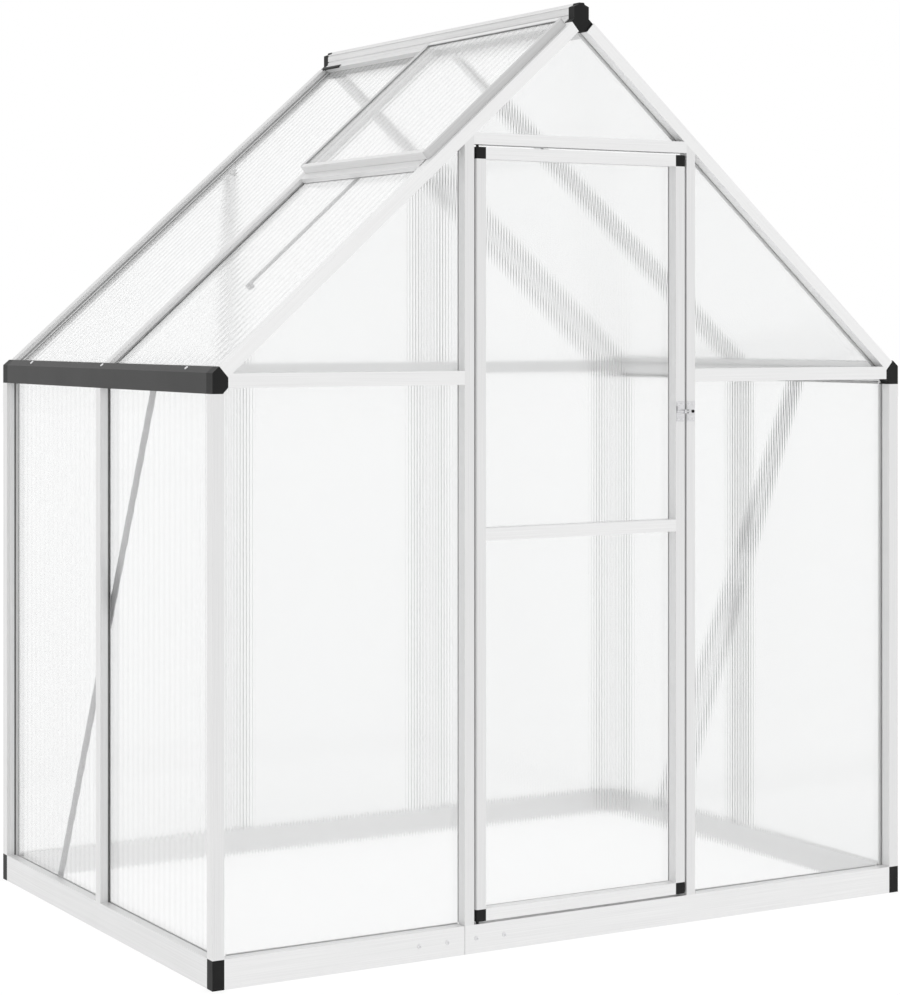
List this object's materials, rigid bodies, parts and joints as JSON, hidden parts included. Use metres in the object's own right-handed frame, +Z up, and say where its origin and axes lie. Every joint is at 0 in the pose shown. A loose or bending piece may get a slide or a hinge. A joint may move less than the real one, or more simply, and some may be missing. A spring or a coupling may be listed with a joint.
{
  "type": "aluminium frame greenhouse",
  "caption": "Small walk-in greenhouse with a gabled aluminium frame, twin-wall sheets, a hinged door with a slide latch, a shut roof vent and eaves gutters.",
  "frame": {"origin": "on the ground at the centre of the plan", "axes": "+Z up, the door is in the wall that faces -Y, the ridge runs along Y"},
  "size_m": [1.69, 1.148, 1.9435],
  "materials": {
    "aluminium": "satin mill finish",
    "gutter_paint": "satin dark grey",
    "black_plastic": "moulded black",
    "twin_wall_sheet": "frosted twin-wall",
    "latch_steel": "zinc plated"
  },
  "bodies": {
    "frame": {"base_front_left_rail": "aluminium", "base_front_right_rail": "aluminium", "base_back_rails": "aluminium", "base_left_rail": "aluminium", "base_right_rail": "aluminium", "base_corner_blocks": "black_plastic", "base_splice_plates": "latch_steel", "front_corner_posts": "aluminium", "back_corner_posts": "aluminium", "middle_posts": "aluminium", "door_jambs": "aluminium", "back_wall_studs": "aluminium", "door_header": "aluminium", "front_eave_rails": "aluminium", "back_eave_rails": "aluminium", "eave_beams": "aluminium", "gutters": "gutter_paint", "gutter_end_caps": "black_plastic", "ridge_beam": "aluminium", "ridge_end_caps": "black_plastic", "front_gable_rafters": "aluminium", "middle_rafters": "aluminium", "back_gable_rafters": "aluminium", "vent_sill": "aluminium", "vent_side_rails": "aluminium", "vent_cross_rails": "aluminium", "vent_panel": "twin_wall_sheet", "vent_stay": "aluminium", "wall_braces": "aluminium", "left_wall_panels": "twin_wall_sheet", "right_wall_panels": "twin_wall_sheet", "front_wall_panels": "twin_wall_sheet", "front_gable_panels": "twin_wall_sheet", "back_wall_panels": "twin_wall_sheet", "back_gable_panels": "twin_wall_sheet", "left_roof_panels": "twin_wall_sheet", "right_roof_panels": "twin_wall_sheet", "latch_keeper": "latch_steel"},
    "door": {"door_stiles": "aluminium", "door_rails": "aluminium", "door_panels": "twin_wall_sheet", "door_corner_caps": "black_plastic", "latch_plate": "latch_steel"},
    "bolt": {"latch_bolt": "latch_steel"}
  },
  "joints": [
    {"name": "door_hinge", "type": "hinge", "parent": "frame", "child": "door", "pos_m": [-0.2525, -0.564, 0.85], "axis": [0, 0, -1], "range_deg": [0, 110]},
    {"name": "bolt_slide", "type": "slide", "parent": "door", "child": "bolt", "axis": [1, 0, 0], "range_m": [0, 0.012]}
  ]
}
